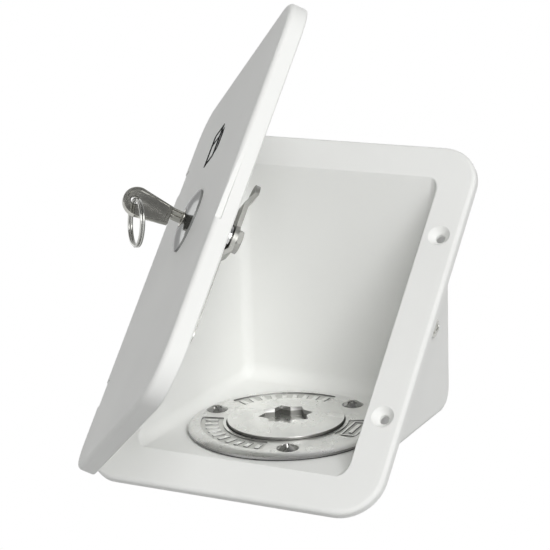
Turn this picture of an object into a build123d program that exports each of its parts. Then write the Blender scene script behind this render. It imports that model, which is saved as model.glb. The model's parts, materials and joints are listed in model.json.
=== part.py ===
from build123d import *
import os
from math import sin, cos, radians, sqrt, pi

# Fuel filler hatch: a wall recess with a deck filler on its sloping floor and a lockable door.
# Frame: X right, Y into the wall, Z up. Origin on the wall surface, at the centre of the screw pattern.
# The door is modelled open, as it stands when the hatch is in use.

os.makedirs("parts", exist_ok=True)

# Flange of the housing
flange_t = 4.5
flange_right = 67.5
flange_left = 71.5
flange_h = 181.0
flange_corner_r = 19.0
flange_left_corner_r = 15.0
flange_edge_r = 2.0

# Recess
border_x = 17.0
border_z = 16.5
open_w = 2 * (flange_right - border_x)
open_h = flange_h - 2 * border_z
wall = 3.0
apex_r = 7.0
recess_corner_r = 5.0
box_edge_r = 2.5
mouth_edge_r = 0.8

# Screws that hold the housing to the wall
screw_pitch_x = 117.0
screw_pitch_z = 89.0
screw_hole_d = 4.4
screw_dish_d = 10.0
screw_dish_angle = 90.0

# Hinge
open_angle = 50.0
knuckle_r = 3.8
door_gap = 0.8
hinge_inset = 39.0
lug_w = 12.0
lug_side_gap = 0.3
lug_end_gap = 0.8
pin_d = 3.0
pin_running_gap = 0.05
pin_l = 32.0

# Door
door_t = 8.0
door_w = 139.3
door_overlap = 3.5
door_h = flange_h + 2 * door_overlap
door_corner_r = 22.0
door_left_corner_r = 15.0
door_outer_edge_r = 2.2
door_inner_edge_r = 1.0
skin_t = 3.0
rib_t = 1.8
rib_count_across = 2
rib_count_up = 4
rib_fillet_r = 2.5
seal_w = 4.0
seal_margin = 3.0
seal_groove = 2.0
seal_proud = 0.5
seal_corner_r = 8.0
seal_land = 3.0
notch_low = -18.0
notch_high = 17.0
notch_depth = 1.4
notch_end = 1.0
notch_start = 1.4

# Lock
lock_z = 7.0
boss_d = 30.0
barrel_d = 16.0
barrel_fit = 0.1
barrel_head_d = 20.0
barrel_head_t = 1.2
barrel_tail = 14.6
barrel_tip_d = 12.4
barrel_tip_l = 3.0
rosette_d = 28.8
rosette_rim = 0.9
rosette_rise = 3.2
rosette_eye_d = 8.6
rosette_flat_d = 12.0
plug_d = 8.0
plug_gap = 0.05
plug_proud = 3.4
plug_tail_gap = 0.4
keyway_w = 2.4
keyway_h = 5.4
washer_d = 25.0
washer_t = 1.0
nut_flats = 22.0
nut_t = 5.0
thread_fit = 0.05

# Cam
cam_t = 2.0
cam_square = 5.4
cam_square_fit = 0.1
cam_hub_r = 7.0
cam_short_l = 28.0
cam_short_w = 11.0
cam_tip_l = 6.0
cam_tip_drop = 2.5
cam_tip_bend = 5.5
cam_reach = 53.0
cam_long_w = 10.0
cam_joggle = 3.0
cam_joggle_start = 6.8
cam_joggle_l = 3.6
cam_screw_d = 3.3
cam_screw_fit = 0.05
cam_screw_l = 4.2
cam_head_flats = 10.0
cam_head_t = 2.6

# Key and ring
key_t = 2.0
key_blade_w = 4.8
key_blade_l = 19.0
key_neck = 5.0
key_bow_w = 13.4
key_bow_neck_w = 8.4
key_bow_l = 21.4
key_bow_drop = 1.6
key_bow_t = 2.6
key_hole_d = 3.4
key_hole_edge = 5.0
key_tooth = 1.1
ring_wire_d = 1.3
ring_d = 21.2
ring_pitch = 1.15
ring_hang = 24.5

# Keeper on the outside of the right wall
keeper_t = 1.5
keeper_low = -17.0
keeper_high = 21.0
keeper_near = 2.5
keeper_far = 24.0
keeper_ear_y = 28.0
keeper_ear_z = 16.0
keeper_ear_r = 4.5
keeper_foot_y = 18.0
keeper_foot_z = -11.5
keeper_screw_d = 2.9
keeper_screw_fit = 0.05
keeper_head_d = 5.6
keeper_head_t = 1.6
slot_w = 6.0
slot_low = -13.0
slot_high = 15.0
slot_r = 1.5

# Deck filler
filler_pcd = 71.0
filler_inset = 46.0
filler_margin = 8.0
filler_d = filler_pcd + 2 * filler_margin
filler_rim = 1.0
filler_top = 2.4
land_margin = 4.0
filler_land_d = filler_pcd + 2 * land_margin
gasket_t = 0.8
gasket_margin = 1.0
neck_margin = 8.5
neck_d = filler_pcd - 2 * neck_margin
neck_fit = 0.5
neck_l = 12.5
tail_d = 38.0
tail_l = 17.5
tail_cone = 3.0
tail_wall = 3.0
bore_d = tail_d - 2 * tail_wall
barb_pitch = 4.4
barb_depth = 0.8
barb_w = 1.6
barb_count = 3
filler_screw_angle = 58.0
filler_screw_d = 5.0
filler_screw_fit = 0.2
filler_head_d = 9.4
filler_head_dome = 0.9
filler_screw_l = 15.0
panel_in = 7.5
panel_out = 2.5
panel_in_d = filler_pcd - 2 * panel_in
panel_out_d = filler_pcd + 2 * panel_out
panel_depth = 0.6
panel_corner_r = 1.2
panel_spans = [(79.0, 157.0), (195.0, 281.0), (-16.0, 22.0)]
washer5_d = 10.0
washer5_t = 1.0
nut5_flats = 8.0
nut5_t = 4.0

# Filler plug
plug_disc_margin = 1.0
plug_disc_d = neck_d - 2 * plug_disc_margin
plug_disc_t = 4.3
plug_dome = 1.7
plug_edge_r = 0.4
plug_groove = 0.6
seat_depth = 1.2
plug_stem_margin = 5.3
plug_stem_d = neck_d - 2 * plug_stem_margin
stem_gap = 0.3
plug_stem_l = 13.0
star_square = 17.46
star_depth = 12.0
star_turn = -9.0
oring_wire = 2.0
oring_drop = 5.0
oring_gap = 0.1

# Planes that several pieces share
hinge_z = door_h / 2 - hinge_inset
hinge_x = knuckle_r - flange_left
hinge_y = -flange_t - door_gap - door_t / 2
turn = radians(open_angle)
door_dir = Vector(cos(turn), -sin(turn), 0)
door_out = Vector(-sin(turn), -cos(turn), 0)
door_plane = Plane(origin=(hinge_x, hinge_y, 0), x_dir=door_dir, z_dir=door_out)
door_axis = Axis((hinge_x, hinge_y, 0), door_out)
nose_r = door_t / 2
door_left = -nose_r
door_right = door_left + door_w

lock_s = -hinge_x
lock_origin = door_plane.from_local_coords(Vector(lock_s, lock_z, 0))
lock_plane = Plane(origin=lock_origin, x_dir=door_dir, z_dir=door_out)
lock_axis = Axis(lock_origin, door_out)
lock_section = Plane(origin=lock_origin, x_dir=door_dir, z_dir=(0, 0, -1))
key_plane = Plane(origin=lock_origin, x_dir=(0, 0, 1), z_dir=door_dir)
bow_origin = key_plane.from_local_coords(Vector(-key_bow_drop, 0, 0))
bow_plane = Plane(origin=bow_origin, x_dir=(0, 0, 1), z_dir=door_dir)
door_face = door_t / 2

slope = sqrt(0.5)
filler_y = -flange_t + filler_inset * slope
filler_z = -open_h / 2 + filler_inset * slope
filler_plane = Plane(origin=(0, filler_y, filler_z), x_dir=(1, 0, 0), z_dir=(0, -slope, slope))
filler_axis = Axis((0, filler_y, filler_z), (0, -slope, slope))
filler_section = Plane(origin=(0, filler_y, filler_z), x_dir=(1, 0, 0), z_dir=(0, -slope, -slope))

box_half = open_w / 2 + wall

# Heights of the cam under the door, and of the slot that it enters when the door is shut
plug_tail = barrel_tail + plug_tail_gap
cam_low = plug_tail + cam_t
cam_arm = cam_low - cam_t / 2 - cam_joggle
slot_y = hinge_y + cam_arm


def strip(points, thickness):
    # Outline of a bent plate, from the centre line of its section, with mitred bends
    half = thickness / 2
    dirs = []
    for a, b in zip(points, points[1:]):
        length = sqrt((b[0] - a[0]) ** 2 + (b[1] - a[1]) ** 2)
        dirs.append(((b[0] - a[0]) / length, (b[1] - a[1]) / length))
    left, right = [], []
    for i, p in enumerate(points):
        d0 = dirs[max(i - 1, 0)]
        d1 = dirs[min(i, len(dirs) - 1)]
        mx, my = d0[0] + d1[0], d0[1] + d1[1]
        m = sqrt(mx * mx + my * my)
        mx, my = mx / m, my / m
        reach = half / (mx * d0[0] + my * d0[1])
        left.append((p[0] - my * reach, p[1] + mx * reach))
        right.append((p[0] + my * reach, p[1] - mx * reach))
    return left + right[::-1]


# Empty space of the recess: a right-angle wedge with soft corners
front_y = -flange_t - 1.0
with BuildPart() as recess:
    with BuildSketch(Plane.YZ):
        Polygon(
            (front_y, -open_h / 2 - 1.0),
            (open_h / 2 - flange_t, 0),
            (front_y, open_h / 2 + 1.0),
            align=None,
        )
        fillet(vertices().sort_by(Axis.X)[-1], radius=apex_r)
    extrude(amount=open_w / 2, both=True)
    sides = recess.faces().filter_by(Axis.X)
    fillet(sides.edges().filter_by(lambda e: e.center().Y > front_y + 0.01), radius=recess_corner_r)

# Housing: flange, wedge-shaped box, hinge lugs
with BuildPart() as housing:
    with BuildSketch(Plane.XZ):
        with Locations(((flange_right - flange_left) / 2, 0)):
            Rectangle(flange_left + flange_right, flange_h)
        fillet(vertices().sort_by(Axis.X)[:2], radius=flange_left_corner_r)
        fillet(vertices().sort_by(Axis.X)[-4:].sort_by(Axis.X)[-2:], radius=flange_corner_r)
    extrude(amount=flange_t)
    fillet(housing.faces().sort_by(Axis.Y)[0].edges(), radius=flange_edge_r)
    with BuildSketch(Plane.YZ):
        back = wall * sqrt(2)
        Polygon(
            (-flange_t / 2, -open_h / 2 - back + flange_t / 2),
            (open_h / 2 - flange_t + back, 0),
            (-flange_t / 2, open_h / 2 + back - flange_t / 2),
            align=None,
        )
        fillet(vertices().sort_by(Axis.X)[-1], radius=apex_r + wall)
    extrude(amount=box_half, both=True)
    outer = housing.edges().filter_by(lambda e: abs(abs(e.center().X) - box_half) < 0.01)
    ends = outer.filter_by(lambda e: e.center().Y > 1.0)
    fillet(ends, radius=box_edge_r)
    add(recess.part, mode=Mode.SUBTRACT)
    # Soft edge round the opening
    mouth = housing.faces().sort_by(Axis.Y)[0].inner_wires()[0]
    fillet(mouth.edges(), radius=mouth_edge_r)
    # Holes for the wall screws
    with BuildSketch(Plane.XZ.offset(-1.0)):
        with GridLocations(screw_pitch_x, screw_pitch_z, 2, 2):
            Circle(screw_hole_d / 2)
    extrude(amount=flange_t + 2.0, mode=Mode.SUBTRACT)
    dish = (screw_dish_d - screw_hole_d) / 2
    with BuildSketch(Plane.XZ.offset(flange_t)):
        with GridLocations(screw_pitch_x, screw_pitch_z, 2, 2):
            Circle(screw_dish_d / 2)
    extrude(amount=-dish, taper=screw_dish_angle / 2, mode=Mode.SUBTRACT)
    # Holes in the floor for the filler's neck and screws
    with BuildSketch(filler_plane.offset(1.0)):
        Circle(neck_d / 2 + neck_fit)
        with PolarLocations(filler_pcd / 2, 3, start_angle=filler_screw_angle):
            Circle(filler_screw_d / 2 + filler_screw_fit)
    extrude(amount=-(wall + 2.0), mode=Mode.SUBTRACT)
    # Slot for the cam in the right wall, and holes for the keeper's screws
    with BuildSketch(Plane.YZ.offset(open_w / 2 - 1.0)):
        with Locations((slot_y, (slot_low + slot_high) / 2)):
            RectangleRounded(slot_w, slot_high - slot_low, slot_r)
        with Locations((keeper_ear_y, keeper_ear_z), (keeper_foot_y, keeper_foot_z)):
            Circle(keeper_screw_d / 2 + keeper_screw_fit)
    extrude(amount=wall + 2.0, mode=Mode.SUBTRACT)
    # Hinge lugs, flush with the left edge of the flange
    with BuildSketch(Plane.XY.offset(hinge_z - lug_w / 2), Plane.XY.offset(-hinge_z - lug_w / 2)):
        with Locations((hinge_x, hinge_y)):
            Circle(knuckle_r)
        with Locations((hinge_x, (hinge_y - flange_t / 2) / 2)):
            Rectangle(2 * knuckle_r, -hinge_y - flange_t / 2)
    extrude(amount=lug_w)
    with BuildSketch(Plane.XY.offset(-hinge_z - lug_w)):
        with Locations((hinge_x, hinge_y)):
            Circle(pin_d / 2 + pin_running_gap)
    extrude(amount=2 * (hinge_z + lug_w), mode=Mode.SUBTRACT)
housing.part.label = "housing"
export_step(housing.part, "parts/housing.step")

# Door: moulded tray with a rounded hinge edge, ribs and a boss for the lock
nose_plane = Plane(origin=(hinge_x, hinge_y, 0), x_dir=door_dir, z_dir=(0, 0, 1))
open_left = open_w / 2 + seal_margin
open_up = open_h / 2 + seal_margin
with BuildPart() as door:
    with BuildSketch(door_plane.offset(-door_t / 2)):
        with Locations(((door_left + door_right) / 2, 0)):
            Rectangle(door_w, door_h)
        fillet(vertices().sort_by(Axis.X)[:2], radius=door_left_corner_r)
        fillet(vertices().sort_by(Axis.X)[-2:], radius=door_corner_r)
    extrude(amount=door_t)
    fillet(door.faces().sort_by(door_axis)[-1].edges(), radius=door_outer_edge_r)
    fillet(door.faces().sort_by(door_axis)[0].edges(), radius=door_inner_edge_r)
    # Groove for the seal
    with BuildSketch(door_plane.offset(-door_t / 2)):
        with Locations((lock_s, 0)):
            RectangleRounded(2 * (open_left + seal_w), 2 * (open_up + seal_w), seal_corner_r + seal_w)
            RectangleRounded(2 * open_left, 2 * open_up, seal_corner_r, mode=Mode.SUBTRACT)
    extrude(amount=seal_groove, mode=Mode.SUBTRACT)
    # Pockets between the ribs
    with BuildSketch(door_plane.offset(-door_t / 2)) as pockets:
        pocket_w = 2 * (open_left - seal_land)
        pocket_h = 2 * (open_up - seal_land)
        with Locations((lock_s, 0)):
            Rectangle(pocket_w, pocket_h)
            with GridLocations(pocket_w / (rib_count_across + 1), 0, rib_count_across, 1):
                Rectangle(rib_t, pocket_h, mode=Mode.SUBTRACT)
            with GridLocations(0, pocket_h / (rib_count_up + 1), 1, rib_count_up):
                Rectangle(pocket_w, rib_t, mode=Mode.SUBTRACT)
        with Locations((lock_s, lock_z)):
            Circle(boss_d / 2, mode=Mode.SUBTRACT)
    extrude(amount=door_t - skin_t, mode=Mode.SUBTRACT)
    # Rounded hinge edge
    with BuildSketch(nose_plane.offset(-door_h / 2 - 1.0)):
        with Locations((0, 0)):
            Rectangle(nose_r + 2.0, nose_r + 2.0, align=(Align.MAX, Align.MIN))
            Circle(nose_r, mode=Mode.SUBTRACT)
    extrude(amount=door_h + 2.0, mode=Mode.SUBTRACT)
    # Notches round the hinge lugs
    low = lug_w / 2 + lug_side_gap
    with BuildSketch(nose_plane.offset(hinge_z - low), nose_plane.offset(-hinge_z - low)):
        with Locations((knuckle_r + lug_end_gap, 0)):
            Rectangle(2 * nose_r + 4.0, door_t + 2.0, align=(Align.MAX, Align.CENTER))
    extrude(amount=2 * low, mode=Mode.SUBTRACT)
    # Bores for the hinge pins, open at the door's ends
    pin_start = hinge_z - pin_l / 2
    with BuildSketch(nose_plane.offset(pin_start)):
        Circle(pin_d / 2)
    extrude(amount=door_h / 2 - pin_start + 1.0, mode=Mode.SUBTRACT)
    with BuildSketch(nose_plane.offset(-pin_start)):
        Circle(pin_d / 2)
    extrude(amount=-(door_h / 2 - pin_start + 1.0), mode=Mode.SUBTRACT)
    # Hole for the lock
    with BuildSketch(lock_plane.offset(-door_t / 2 - 1.0)):
        Circle(barrel_d / 2 + barrel_fit)
    extrude(amount=door_t + 2.0, mode=Mode.SUBTRACT)
    # Finger notch in the free edge
    with BuildSketch(door_plane.offset(notch_start)):
        with BuildLine():
            Polyline(
                (door_right + 1.0, notch_low - notch_end),
                (door_right, notch_low - notch_end),
                (door_right - notch_depth, notch_low),
                (door_right, notch_high),
                (door_right + 1.0, notch_high),
                close=True,
            )
        make_face()
    extrude(amount=door_t, mode=Mode.SUBTRACT)
door.part.label = "door"
export_step(door.part, "parts/door.step")

# Hinge pins
with BuildPart() as hinge_pin_top:
    with BuildSketch(nose_plane.offset(pin_start)):
        Circle(pin_d / 2)
    extrude(amount=pin_l)
hinge_pin_top.part.label = "hinge_pin_top"
export_step(hinge_pin_top.part, "parts/hinge_pin_top.step")

with BuildPart() as hinge_pin_bottom:
    with BuildSketch(nose_plane.offset(-pin_start)):
        Circle(pin_d / 2)
    extrude(amount=-pin_l)
hinge_pin_bottom.part.label = "hinge_pin_bottom"
export_step(hinge_pin_bottom.part, "parts/hinge_pin_bottom.step")

# Seal in the door's groove
with BuildPart() as door_seal:
    with BuildSketch(door_plane.offset(-door_t / 2 - seal_proud)):
        with Locations((lock_s, 0)):
            RectangleRounded(2 * (open_left + seal_w), 2 * (open_up + seal_w), seal_corner_r + seal_w)
            RectangleRounded(2 * open_left, 2 * open_up, seal_corner_r, mode=Mode.SUBTRACT)
    extrude(amount=seal_groove + seal_proud)
door_seal.part.label = "door_seal"
export_step(door_seal.part, "parts/door_seal.step")

# Lock rosette: a domed disc over the head of the barrel
with BuildPart() as lock_rosette:
    with BuildSketch(lock_section):
        with BuildLine():
            under = door_face + barrel_head_t
            l1 = Polyline(
                (barrel_head_d / 2 + 0.1, under),
                (barrel_head_d / 2 + 0.1, door_face),
                (rosette_d / 2, door_face),
                (rosette_d / 2, door_face + rosette_rim),
            )
            l2 = RadiusArc(l1 @ 1, (rosette_flat_d / 2, door_face + rosette_rise), -rosette_d)
            Polyline(
                l2 @ 1,
                (rosette_eye_d / 2, door_face + rosette_rise),
                (rosette_eye_d / 2, under),
                l1 @ 0,
            )
        make_face()
    revolve(axis=lock_axis)
lock_rosette.part.label = "lock_rosette"
export_step(lock_rosette.part, "parts/lock_rosette.step")

# Lock barrel, through the door
with BuildPart() as lock_barrel:
    with BuildSketch(lock_plane.offset(-barrel_tail + barrel_tip_l)):
        Circle(barrel_d / 2)
    extrude(amount=barrel_tail - barrel_tip_l + door_face)
    with BuildSketch(lock_plane.offset(-barrel_tail)):
        Circle(barrel_tip_d / 2)
    extrude(amount=barrel_tip_l)
    with BuildSketch(lock_plane.offset(door_face)):
        Circle(barrel_head_d / 2)
    extrude(amount=barrel_head_t)
    with BuildSketch(lock_plane.offset(-barrel_tail - 1.0)):
        Circle(plug_d / 2 + plug_gap)
    extrude(amount=barrel_tail + door_t + 2.0, mode=Mode.SUBTRACT)
lock_barrel.part.label = "lock_barrel"
export_step(lock_barrel.part, "parts/lock_barrel.step")

with BuildPart() as lock_washer:
    with BuildSketch(lock_plane.offset(-door_face - washer_t)):
        Circle(washer_d / 2)
        Circle(barrel_d / 2 + thread_fit, mode=Mode.SUBTRACT)
    extrude(amount=washer_t)
lock_washer.part.label = "lock_washer"
export_step(lock_washer.part, "parts/lock_washer.step")

with BuildPart() as lock_nut:
    with BuildSketch(lock_plane.offset(-door_face - washer_t - nut_t)):
        RegularPolygon(nut_flats / 2, 6, major_radius=False)
        Circle(barrel_d / 2 + thread_fit, mode=Mode.SUBTRACT)
    extrude(amount=nut_t)
lock_nut.part.label = "lock_nut"
export_step(lock_nut.part, "parts/lock_nut.step")

# Lock plug with keyway and square end
plug_end = cam_low - 0.2
with BuildPart() as lock_plug:
    with BuildSketch(lock_plane.offset(-(cam_low - cam_t))):
        Circle(plug_d / 2)
    extrude(amount=cam_low - cam_t + door_face + plug_proud)
    with BuildSketch(lock_plane.offset(-plug_end)):
        Rectangle(cam_square, cam_square)
    extrude(amount=plug_end - cam_low + cam_t + 0.5)
    with BuildSketch(lock_plane.offset(door_face + plug_proud)):
        Rectangle(keyway_w, keyway_h)
    extrude(amount=-(key_blade_l + 0.5), mode=Mode.SUBTRACT)
    with BuildSketch(lock_plane.offset(-plug_end)):
        Circle(cam_screw_d / 2 + cam_screw_fit)
    extrude(amount=cam_screw_l, mode=Mode.SUBTRACT)
lock_plug.part.label = "lock_plug"
export_step(lock_plug.part, "parts/lock_plug.step")

# Cam: cranked plate with a short arm that bends outwards and a long arm for the slot
cam_side = Plane(origin=lock_origin, x_dir=(0, 0, 1), z_dir=door_dir)
cam_mid = -(cam_low - cam_t / 2)
cam_path = [
    (cam_short_l, cam_mid - cam_tip_drop),
    (cam_short_l - cam_tip_l, cam_mid - cam_tip_drop),
    (cam_short_l - cam_tip_l - cam_tip_bend, cam_mid),
    (-cam_joggle_start, cam_mid),
    (-cam_joggle_start - cam_joggle_l, -cam_arm),
    (-cam_reach, -cam_arm),
]
with BuildPart() as lock_cam:
    with BuildSketch(cam_side):
        Polygon(*strip(cam_path, cam_t), align=None)
    extrude(amount=cam_hub_r + 5.0, both=True)
    with BuildSketch(lock_plane.offset(-cam_low - cam_tip_drop - cam_t)):
        Circle(cam_hub_r)
        with Locations((0, cam_short_l - cam_short_w / 2)):
            Circle(cam_short_w / 2)
        with Locations((0, (cam_short_l - cam_short_w / 2) / 2)):
            Rectangle(cam_short_w, cam_short_l - cam_short_w / 2)
        with Locations((0, -(cam_reach - cam_long_w / 2) / 2)):
            Rectangle(cam_long_w, cam_reach - cam_long_w / 2)
        with Locations((0, -(cam_reach - cam_long_w / 2))):
            Circle(cam_long_w / 2)
    extrude(amount=cam_low + cam_tip_drop + cam_t, mode=Mode.INTERSECT)
    with BuildSketch(lock_plane.offset(-cam_low - 1.0)):
        Rectangle(cam_square + 2 * cam_square_fit, cam_square + 2 * cam_square_fit)
    extrude(amount=cam_t + 2.0, mode=Mode.SUBTRACT)
lock_cam.part.label = "lock_cam"
export_step(lock_cam.part, "parts/lock_cam.step")

with BuildPart() as cam_screw:
    with BuildSketch(lock_plane.offset(-cam_low)):
        RegularPolygon(cam_head_flats / 2, 6, major_radius=False)
    extrude(amount=-cam_head_t)
    with BuildSketch(lock_plane.offset(-cam_low)):
        Circle(cam_screw_d / 2)
    extrude(amount=cam_screw_l - 0.6)
cam_screw.part.label = "cam_screw"
export_step(cam_screw.part, "parts/cam_screw.step")

# Key: flat blade and tapering bow
plug_face = door_face + plug_proud
bow_start = plug_face + key_neck
bow_end = bow_start + key_bow_l
bow_round = key_bow_w / 2
with BuildPart() as key:
    with BuildSketch(key_plane.offset(-key_t / 2)):
        with BuildLine():
            tip = plug_face - key_blade_l
            half = key_blade_w / 2
            teeth = [(-half, tip + 2.0), (-half, tip + 4.0)]
            for n in range(3):
                start = tip + 4.0 + n * 3.2
                floor_x = -half + key_tooth
                teeth += [(floor_x, start + 1.2), (floor_x, start + 2.0), (-half, start + 3.2)]
            Polyline(
                (half, bow_start + 2.0),
                (half, tip + 2.0),
                (half - 2.0, tip),
                (-half + 2.0, tip),
                *teeth,
                (-half, bow_start + 2.0),
                close=True,
            )
        make_face()
    extrude(amount=key_t)
    with BuildSketch(bow_plane.offset(-key_bow_t / 2)):
        with BuildLine():
            Polyline(
                (bow_round, bow_end - bow_round),
                (key_bow_neck_w / 2, bow_start),
                (-key_bow_neck_w / 2, bow_start),
                (-bow_round, bow_end - bow_round),
            )
            ThreePointArc((-bow_round, bow_end - bow_round), (0, bow_end), (bow_round, bow_end - bow_round))
        make_face()
    extrude(amount=key_bow_t)
    with BuildSketch(bow_plane.offset(-key_bow_t)):
        with Locations((0, bow_end - key_hole_edge)):
            Circle(key_hole_d / 2)
    extrude(amount=2 * key_bow_t, mode=Mode.SUBTRACT)
key.part.label = "key"
export_step(key.part, "parts/key.step")

# Split ring: two turns of wire side by side, hanging from the key
hang = radians(ring_hang)
ring_r = (ring_d - ring_wire_d) / 2
hole_at = bow_plane.from_local_coords(Vector(0, bow_end - key_hole_edge, 0))
hang_dir = key_plane.from_local_coords(Vector(-cos(hang), -sin(hang), 0)) - lock_origin
ring_norm = key_plane.from_local_coords(Vector(sin(hang), -cos(hang), 0)) - lock_origin
ring_centre = hole_at + hang_dir * ring_r
with BuildPart() as key_ring:
    with BuildSketch(Plane(origin=hole_at, x_dir=ring_norm, z_dir=door_dir)):
        with Locations((-ring_pitch / 2, 0), (ring_pitch / 2, 0)):
            Circle(ring_wire_d / 2)
    revolve(axis=Axis(ring_centre, ring_norm))
key_ring.part.label = "key_ring"
export_step(key_ring.part, "parts/key_ring.step")

# Keeper: plate with a slot, on the outside of the right wall
with BuildPart() as keeper:
    with BuildSketch(Plane.YZ.offset(box_half)):
        with Locations(((keeper_near + keeper_far) / 2, (keeper_low + keeper_high) / 2)):
            RectangleRounded(keeper_far - keeper_near, keeper_high - keeper_low, 2.5)
        with Locations((keeper_ear_y, keeper_ear_z)):
            Circle(keeper_ear_r)
            Rectangle(keeper_ear_y - keeper_near - 3.0, 2 * keeper_ear_r, align=(Align.MAX, Align.CENTER))
        with Locations((slot_y, (slot_low + slot_high) / 2)):
            RectangleRounded(slot_w, slot_high - slot_low, slot_r, mode=Mode.SUBTRACT)
        with Locations((keeper_ear_y, keeper_ear_z), (keeper_foot_y, keeper_foot_z)):
            Circle(keeper_screw_d / 2 + keeper_screw_fit, mode=Mode.SUBTRACT)
    extrude(amount=keeper_t)
keeper.part.label = "keeper"
export_step(keeper.part, "parts/keeper.step")

with BuildPart() as keeper_screws:
    with BuildSketch(Plane.YZ.offset(box_half + keeper_t)):
        with Locations((keeper_ear_y, keeper_ear_z), (keeper_foot_y, keeper_foot_z)):
            Circle(keeper_head_d / 2)
    extrude(amount=keeper_head_t)
    fillet(keeper_screws.faces().sort_by(Axis.X)[-2:].edges(), radius=0.7)
    with BuildSketch(Plane.YZ.offset(box_half + keeper_t)):
        with Locations((keeper_ear_y, keeper_ear_z), (keeper_foot_y, keeper_foot_z)):
            Circle(keeper_screw_d / 2)
    extrude(amount=-(keeper_t + wall))
keeper_screws.part.label = "keeper_screws"
export_step(keeper_screws.part, "parts/keeper_screws.step")

# Deck filler: plate, neck and hose tail in one casting
plate_low = gasket_t
rim_top = plate_low + filler_rim
plate_top = plate_low + filler_top
seat = plate_top - seat_depth
stem_r = plug_stem_d / 2
throat_r = stem_r + stem_gap
tail_start = -neck_l - tail_cone
tail_end = tail_start - tail_l + tail_cone
with BuildPart() as filler_body:
    with BuildSketch(filler_section):
        with BuildLine():
            p1 = Polyline(
                (plug_disc_d / 2 + plug_groove, seat),
                (plug_disc_d / 2 + plug_groove, plate_top),
                (filler_land_d / 2, plate_top),
            )
            p2 = ThreePointArc(
                p1 @ 1,
                ((filler_land_d + filler_d) / 4 + 0.3, (plate_top + rim_top) / 2 + 0.25),
                (filler_d / 2, rim_top),
            )
            Polyline(
                p2 @ 1,
                (filler_d / 2, plate_low),
                (neck_d / 2, plate_low),
                (neck_d / 2, -neck_l),
                (tail_d / 2, tail_start),
                (tail_d / 2, tail_end + 1.0),
                (tail_d / 2 - 1.0, tail_end),
                (bore_d / 2, tail_end),
                (bore_d / 2, tail_start),
                (throat_r, -neck_l + 1.0),
                (throat_r, seat),
                p1 @ 0,
            )
        make_face()
    revolve(axis=filler_axis)
    # Grooves that grip the hose
    with BuildSketch(filler_section):
        with Locations((tail_d / 2 - barb_depth, (tail_start + tail_end) / 2)):
            with GridLocations(0, barb_pitch, 1, barb_count):
                Rectangle(2 * barb_depth, barb_w, align=(Align.MIN, Align.CENTER))
    revolve(axis=filler_axis, mode=Mode.SUBTRACT)
    # Sunk panels between the screws
    with BuildSketch(filler_plane.offset(plate_top)):
        for start, end in panel_spans:
            with BuildLine():
                outer = CenterArc((0, 0), panel_out_d / 2, start, end - start)
                inner = CenterArc((0, 0), panel_in_d / 2, start, end - start)
                Line(outer @ 0, inner @ 0)
                Line(outer @ 1, inner @ 1)
            make_face()
        fillet(vertices(), radius=panel_corner_r)
    extrude(amount=-panel_depth, mode=Mode.SUBTRACT)
    # Countersunk screw holes
    with BuildSketch(filler_plane.offset(plate_low - 1.0)):
        with PolarLocations(filler_pcd / 2, 3, start_angle=filler_screw_angle):
            Circle(filler_screw_d / 2 + filler_screw_fit)
    extrude(amount=filler_top + 2.0, mode=Mode.SUBTRACT)
    head_depth = (filler_head_d - filler_screw_d) / 2
    with BuildSketch(filler_plane.offset(plate_top)):
        with PolarLocations(filler_pcd / 2, 3, start_angle=filler_screw_angle):
            Circle(filler_head_d / 2 + filler_screw_fit)
    extrude(amount=-head_depth, taper=45, mode=Mode.SUBTRACT)
filler_body.part.label = "filler_body"
export_step(filler_body.part, "parts/filler_body.step")

with BuildPart() as filler_gasket:
    with BuildSketch(filler_plane):
        Circle(filler_d / 2 - gasket_margin)
        Circle(neck_d / 2 + neck_fit, mode=Mode.SUBTRACT)
        with PolarLocations(filler_pcd / 2, 3, start_angle=filler_screw_angle):
            Circle(filler_screw_d / 2 + filler_screw_fit, mode=Mode.SUBTRACT)
    extrude(amount=gasket_t)
filler_gasket.part.label = "filler_gasket"
export_step(filler_gasket.part, "parts/filler_gasket.step")

# Screws, washers and nuts that clamp the filler to the floor
with BuildPart() as filler_screws:
    with BuildSketch(filler_plane.offset(plate_top)):
        with PolarLocations(filler_pcd / 2, 3, start_angle=filler_screw_angle):
            Circle(filler_head_d / 2)
    extrude(amount=-head_depth, taper=45)
    with BuildSketch(filler_plane.offset(plate_top)):
        with PolarLocations(filler_pcd / 2, 3, start_angle=filler_screw_angle):
            Circle(filler_head_d / 2)
    extrude(amount=filler_head_dome, taper=60)
    with BuildSketch(filler_plane.offset(plate_top)):
        with PolarLocations(filler_pcd / 2, 3, start_angle=filler_screw_angle):
            Circle(filler_screw_d / 2)
    extrude(amount=-filler_screw_l)
filler_screws.part.label = "filler_screws"
export_step(filler_screws.part, "parts/filler_screws.step")

with BuildPart() as filler_washers:
    with BuildSketch(filler_plane.offset(-wall)):
        with PolarLocations(filler_pcd / 2, 3, start_angle=filler_screw_angle):
            Circle(washer5_d / 2)
            Circle(filler_screw_d / 2 + filler_screw_fit, mode=Mode.SUBTRACT)
    extrude(amount=-washer5_t)
filler_washers.part.label = "filler_washers"
export_step(filler_washers.part, "parts/filler_washers.step")

with BuildPart() as filler_nuts:
    with BuildSketch(filler_plane.offset(-wall - washer5_t)):
        with PolarLocations(filler_pcd / 2, 3, start_angle=filler_screw_angle):
            RegularPolygon(nut5_flats / 2, 6, major_radius=False)
            Circle(filler_screw_d / 2 + thread_fit, mode=Mode.SUBTRACT)
    extrude(amount=-nut5_t)
filler_nuts.part.label = "filler_nuts"
export_step(filler_nuts.part, "parts/filler_nuts.step")

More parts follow.
